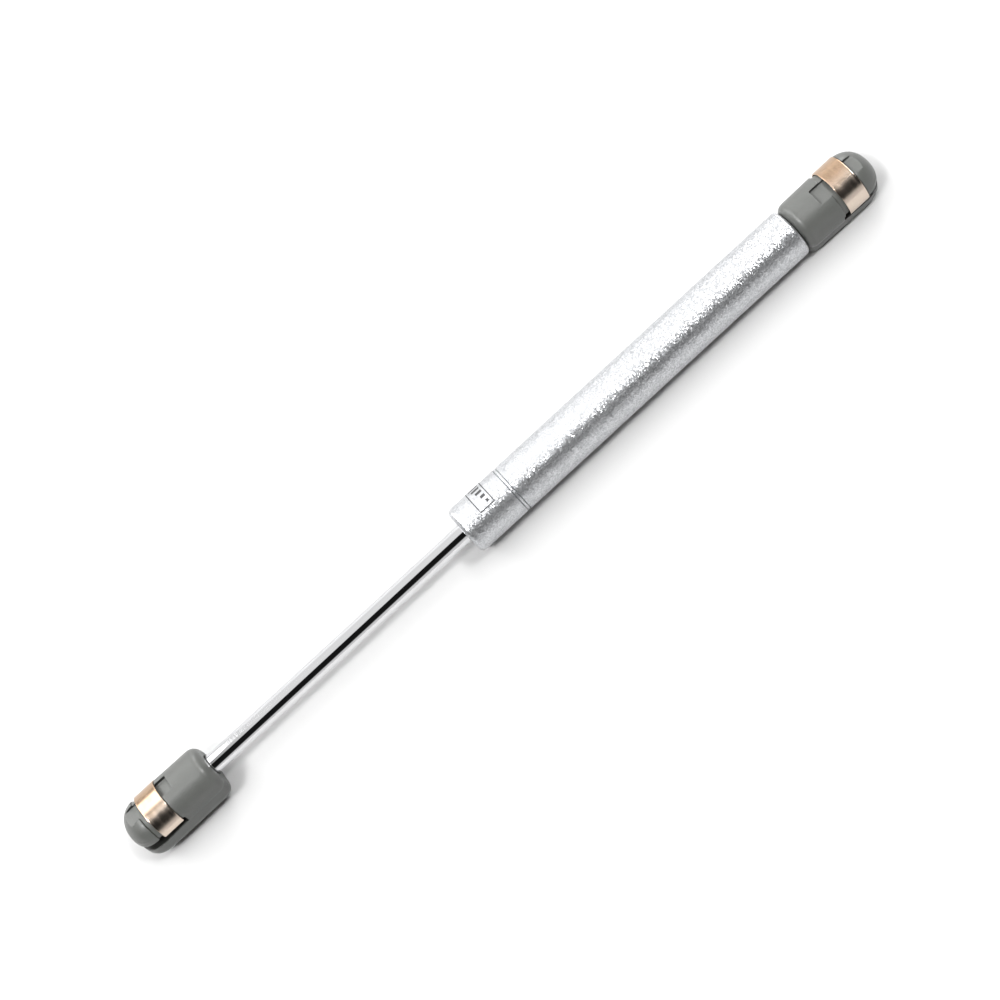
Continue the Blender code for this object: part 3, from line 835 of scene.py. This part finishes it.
def clip_path(steps=96):
    """The strip's middle line as (y, z) points: in at one tab, over the back, in at the other.

    A half circle of radius r, then on each side a quarter bend of radius TAB_BEND and a straight
    tab that ends TAB_TIP from the middle.
    """
    r = CLIP_R + GAUGE / 2
    over = np.linspace(-math.pi / 2, math.pi / 2, steps)[1:-1]
    bend = np.linspace(0, math.pi / 2, 10)[1:]
    arch = np.stack([r * np.sin(over), r * np.cos(over)], axis=1)
    turn_y = r - TAB_BEND * (1 - np.cos(bend))
    turn_z = TAB_Z + TAB_BEND * (1 - np.sin(bend))
    right = np.concatenate([np.stack([turn_y, turn_z], axis=1), [[TAB_TIP, TAB_Z]]])
    left = right[::-1] * (-1, 1)
    return np.concatenate([left, arch, right])


def strip(name, path, low_x, high_x, gauge, soft=0.12 * MM):
    """Carries a soft-cornered rectangle along a (y, z) path. Its long side lies along X.

    Each point of the section goes to the path's point P + out * n, where n is the path's own
    direction turned a quarter turn.
    """
    corners = box_outline((low_x, -gauge / 2), (high_x, gauge / 2))
    section = with_margins(rounded(corners, soft, steps=4))
    ahead = np.gradient(path, axis=0)
    ahead /= np.linalg.norm(ahead, axis=1, keepdims=True)
    outward = np.stack([-ahead[:, 1], ahead[:, 0]], axis=1)
    x = section[None, :, 0] + 0 * path[:, :1]
    yz = path[:, None, :] + section[None, :, 1:] * outward[:, None, :]
    return from_rings(name, np.concatenate([x[..., None], yz], axis=-1))


for name, edge, place, body, node_name in (
    ("rod_clip_band", ROD_CLIP_AT, rod_end, "rod_clip", "rod_end_clip"),
    ("tube_clip_band", TUBE_CLIP_AT, tube_end, "tube_clip", "tube_end_clip"),
):
    clip = strip(name, clip_path(), edge, edge + CLIP_WIDTH, GAUGE)
    clip.data.transform(place)
    settle(shade(clip, 50), CLIP_STEEL, body, node_name)

# %% [markdown]
# ## The printed box
#
# A small outlined box is printed on the tube near the rod. Inside it is a plain pictogram: five
# bars of rising height. Every stroke is a thin plate bent to the tube's radius.

# %% Printed box
PRINT_FROM, PRINT_TO = TUBE_FRONT + 7.1 * MM, TUBE_FRONT + 12.4 * MM
PRINT_START, PRINT_SWEEP = math.radians(-13.6), math.radians(84)
STROKE = 0.3 * MM
CORNER = 1.01 * STROKE
INK_LOW, INK_HIGH = 0.004 * MM, 0.03 * MM
BARS, BAR_FOOT, BAR_LOW, BAR_STEP = 5, 1.0 * MM, 0.9 * MM, 0.6 * MM
BAR_START, BAR_PITCH, BAR_SWEEP = math.radians(9), math.radians(14.5), math.radians(7)


def plate(low_x, high_x, start, end, steps=24):
    """Rings of a plate on the tube, from angle start to end, measured from +Z towards +Y."""
    turn = np.linspace(start, end, steps)[:, None]
    x = np.array([low_x, high_x, high_x, low_x])[None, :]
    radius = TUBE_R + np.array([INK_LOW, INK_LOW, INK_HIGH, INK_HIGH])[None, :]
    return np.stack([x + 0 * turn, radius * np.sin(turn), radius * np.cos(turn)], axis=-1)


def printed_box():
    """The outline's four strokes, which meet at their corners, and the bars inside."""
    thick = STROKE / TUBE_R
    end = PRINT_START + PRINT_SWEEP
    strokes = [
        plate(PRINT_FROM, PRINT_FROM + STROKE, PRINT_START, end),
        plate(PRINT_TO - STROKE, PRINT_TO, PRINT_START, end),
        plate(PRINT_FROM + CORNER, PRINT_TO - CORNER, PRINT_START, PRINT_START + thick, 3),
        plate(PRINT_FROM + CORNER, PRINT_TO - CORNER, end - thick, end, 3),
    ]
    base = PRINT_TO - BAR_FOOT
    for bar in range(BARS):
        at = PRINT_START + BAR_START + BAR_PITCH * bar
        height = BAR_LOW + BAR_STEP * bar
        strokes.append(plate(base - height, base, at, at + BAR_SWEEP, 6))
    return strokes


stroke_pieces = [from_rings(f"stroke_{i}", rings) for i, rings in enumerate(printed_box())]
ink_shape = bmesh.new()
for stroke_piece in stroke_pieces:
    ink_shape.from_mesh(stroke_piece.data)
    bpy.data.objects.remove(stroke_piece)
ink_mesh = bpy.data.meshes.new("printed_box")
ink_shape.to_mesh(ink_mesh)
ink_shape.free()
printed = bpy.data.objects.new("printed_box", ink_mesh)
bpy.context.scene.collection.objects.link(printed)
settle(shade(printed, 30), INK, "tube")

# %% [markdown]
# ## The floor
#
# The strut lies on its two sockets. They don't hang to quite the same depth, because the turned one
# stands on its jaw's corner, so the white floor is tilted by 0.3 degrees to meet both.

# %% Floor
FLOOR_HALF, TIP_REST = 6.0, 4.8 * MM
rest_x = (rod_head_high[0] - NECK_FILLET, TUBE_TIP - TIP_REST)
rest_z = (rod_head_low[2], MOUTH_Z)
slope = (rest_z[1] - rest_z[0]) / (rest_x[1] - rest_x[0])
CLEAR = 0.03 * MM

floor_mesh = bpy.data.meshes.new("floor")
corner_x = np.array([-FLOOR_HALF, FLOOR_HALF, FLOOR_HALF, -FLOOR_HALF])
corner_y = np.array([-FLOOR_HALF, -FLOOR_HALF, FLOOR_HALF, FLOOR_HALF])
corner_z = rest_z[1] + slope * (corner_x - rest_x[1]) - CLEAR
floor_mesh.from_pydata(np.stack([corner_x, corner_y, corner_z], axis=1), [], [[0, 1, 2, 3]])
floor = bpy.data.objects.new("floor", floor_mesh)
bpy.context.scene.collection.objects.link(floor)
paper, paper_shader = finish("white_paper", (0.5, 0.5, 0.5), 0.9)
paper_shader.inputs["Specular IOR Level"].default_value = 0.0
floor_mesh.materials.append(paper)
print("floor tilt, degrees:", round(math.degrees(math.atan(slope)), 3))

# %% [markdown]
# ## The light
#
# The light is a big soft tent, open on the camera's side. Bright metal shows nothing but what is
# round it, so the tent is drawn by direction. Its angle is measured about the strut, from straight
# up towards the near side. The tent covers everything from the far horizon, where it is a little
# brighter, to about straight up, and a low strip lies on the near side. Between the two is the dark
# of the room. That gap draws the black line down the rod and the grey band down the tube.
#
# Along X the tent's level goes by stops: brightest where the tube mirrors it and dim where the two
# sockets do. A bright patch on the far side, towards the rod's end, is there for that end's clip to
# catch. Past both ends are bright flanks, which the straight sides don't mirror to the camera. In
# each is a lamp just on the near side of straight up. It lights the floor right up to the strut's
# near side, and leaves a narrow, crisp shadow underneath.

# %% Light tent
# TENT_ALONG holds (X of the direction, level of the light) stops. Angles here are in degrees.
TENT_ALONG = (
    (-0.3, 0.7),
    (-0.25, 0.2),
    (-0.18, 0.2),
    (-0.15, 1.0),
    (-0.02, 1.0),
    (0.03, 1.7),
    (0.17, 1.7),
    (0.2, 0.45),
    (0.26, 0.45),
    (0.3, 0.7),
)
TENT_EDGE, TENT_SOFT = -1.0, 2.5
HORIZON, HORIZON_SOFT, HORIZON_LEVEL = -70.0, 12.0, 0.4
PATCH_X, PATCH_ANGLES, PATCH_SOFT, PATCH = (-0.27, -0.24, -0.18, -0.16), (-68.0, -17.0), 8.0, 6.0
FLANK_X, FLANK = (0.34, 0.38, 0.5, 0.54), 9.5
LAMP_ANGLES, LAMP_SOFT, LAMP = (1.5, 13.0), 1.0, 50.0
ROOM, ROOM_EDGE, ROOM_SOFT, NEAR_STRIP = 0.01, 57.5, 6.0, 0.8
END_X, END_Z, END_DIMMING = (0.6, 0.9), (0.1, 0.3), 0.6
ROD_SKEW, TUBE_SKEW, SKEW_REACH = 1.5, 1.0, 0.25
print("tent levels along X:", [tent_level for _, tent_level in TENT_ALONG])

# %% World and its math nodes
world = bpy.data.worlds.new("light_tent")
bpy.context.scene.world = world
world.use_nodes = True
sky = world.node_tree.nodes["Background"]
direction = node(world, "ShaderNodeTexCoord").outputs["Generated"]
parts = node(world, "ShaderNodeSeparateXYZ", [("Vector", direction)]).outputs


def calculate(operation, *values):
    """A math node on sockets and numbers."""
    made = node(world, "ShaderNodeMath", operation=operation)
    for socket, value in zip(made.inputs, values):
        if isinstance(value, (int, float)):
            socket.default_value = value
        else:
            world.node_tree.links.new(value, socket)
    return made.outputs[0]


def rise(value, start, end):
    """0 before start, 1 after end and between them the smooth step t^2 (3 - 2 t)."""
    limits = {"From_Min": start, "From_Max": end}
    links = [("Value", value)]
    made = node(world, "ShaderNodeMapRange", links, interpolation_type="SMOOTHSTEP", **limits)
    return made.outputs["Result"]


def plateau(value, limits):
    """1 between the middle two of four limits and 0 outside them all."""
    return calculate("SUBTRACT", rise(value, *limits[:2]), rise(value, *limits[2:]))


def rise_at(value, degrees, soft):
    """A smooth step from 0 to 1 centred on an angle, from soft degrees before it to soft after."""
    return rise(value, math.radians(degrees - soft), math.radians(degrees + soft))


def hill(value, ends, soft):
    """1 between two angles in degrees and 0 outside them, with a smooth step at each."""
    return calculate("SUBTRACT", rise_at(value, ends[0], soft), rise_at(value, ends[1], soft))


# %% [markdown]
# The tent's edge is skewed towards the rod's end, and the near strip towards both ends: the angle
# shifts with X up to a limit, as when a tent isn't pitched quite in line with the strut. The dark
# line then drifts a little across the rod along its length.

# %% Angles about the strut
near_side = calculate("MULTIPLY", parts["Y"], -1.0)
true_angle = calculate("ARCTAN2", near_side, parts["Z"])
rodward = calculate("MAXIMUM", calculate("MINIMUM", parts["X"], 0.0), -SKEW_REACH)
tubeward = calculate("MINIMUM", calculate("MAXIMUM", parts["X"], 0.0), SKEW_REACH)
angle = calculate("MULTIPLY_ADD", rodward, ROD_SKEW, true_angle)
strip_angle = calculate("MULTIPLY_ADD", tubeward, -TUBE_SKEW, angle)
endways = calculate("ABSOLUTE", parts["X"])
print("skews, degrees:", [round(math.degrees(skew * SKEW_REACH), 1) for skew in (ROD_SKEW, TUBE_SKEW)])

# %% Tent, patch, flanks and lamps
lowest, highest = TENT_ALONG[0][0], TENT_ALONG[-1][0]
brightest = max(level for _, level in TENT_ALONG)
share = node(world, "ShaderNodeMapRange", [("Value", parts["X"])], From_Min=lowest, From_Max=highest)
ramp = node(world, "ShaderNodeValToRGB", [("Fac", share.outputs["Result"])])
while len(ramp.color_ramp.elements) < len(TENT_ALONG):
    ramp.color_ramp.elements.new(0.5)
for stop, (at, level) in zip(ramp.color_ramp.elements, TENT_ALONG):
    stop.position = (at - lowest) / (highest - lowest)
    stop.color = (level / brightest,) * 3 + (1,)
tent = calculate("MULTIPLY", ramp.outputs["Color"], brightest)
far = calculate("SUBTRACT", 1.0, rise_at(true_angle, HORIZON, HORIZON_SOFT))
tent = calculate("MULTIPLY_ADD", far, HORIZON_LEVEL, tent)
flank = plateau(endways, FLANK_X)
tent = calculate("MULTIPLY_ADD", flank, FLANK, tent)
tent = calculate("MULTIPLY", tent, calculate("SUBTRACT", 1.0, rise_at(angle, TENT_EDGE, TENT_SOFT)))
at_rod_end = plateau(parts["X"], PATCH_X)
patch = calculate("MULTIPLY", at_rod_end, hill(true_angle, PATCH_ANGLES, PATCH_SOFT))
tent = calculate("MULTIPLY_ADD", patch, PATCH, tent)
lamp_band = hill(true_angle, LAMP_ANGLES, LAMP_SOFT)
lamp = calculate("MULTIPLY", calculate("MULTIPLY", flank, lamp_band), LAMP)
print("patch over", PATCH_ANGLES, "degrees, lamps over", LAMP_ANGLES)

# %% Near strip, dim ends and the whole
strip_light = calculate("MULTIPLY", rise_at(strip_angle, ROOM_EDGE, ROOM_SOFT), NEAR_STRIP)
above = calculate("ADD", calculate("ADD", tent, ROOM), strip_light)
high_ends = calculate("MULTIPLY", rise(endways, *END_X), rise(parts["Z"], *END_Z))
dimmed = calculate("MULTIPLY", high_ends, END_DIMMING)
soft_light = calculate("MULTIPLY", above, calculate("SUBTRACT", 1.0, dimmed))
level = calculate("ADD", soft_light, lamp)
world.node_tree.links.new(level, sky.inputs["Strength"])
sky.inputs["Color"].default_value = (1.0, 1.0, 1.0, 1)
bpy.context.scene.view_settings.view_transform = "Standard"
print("tent to", TENT_EDGE, "degrees, dark room to", ROOM_EDGE)
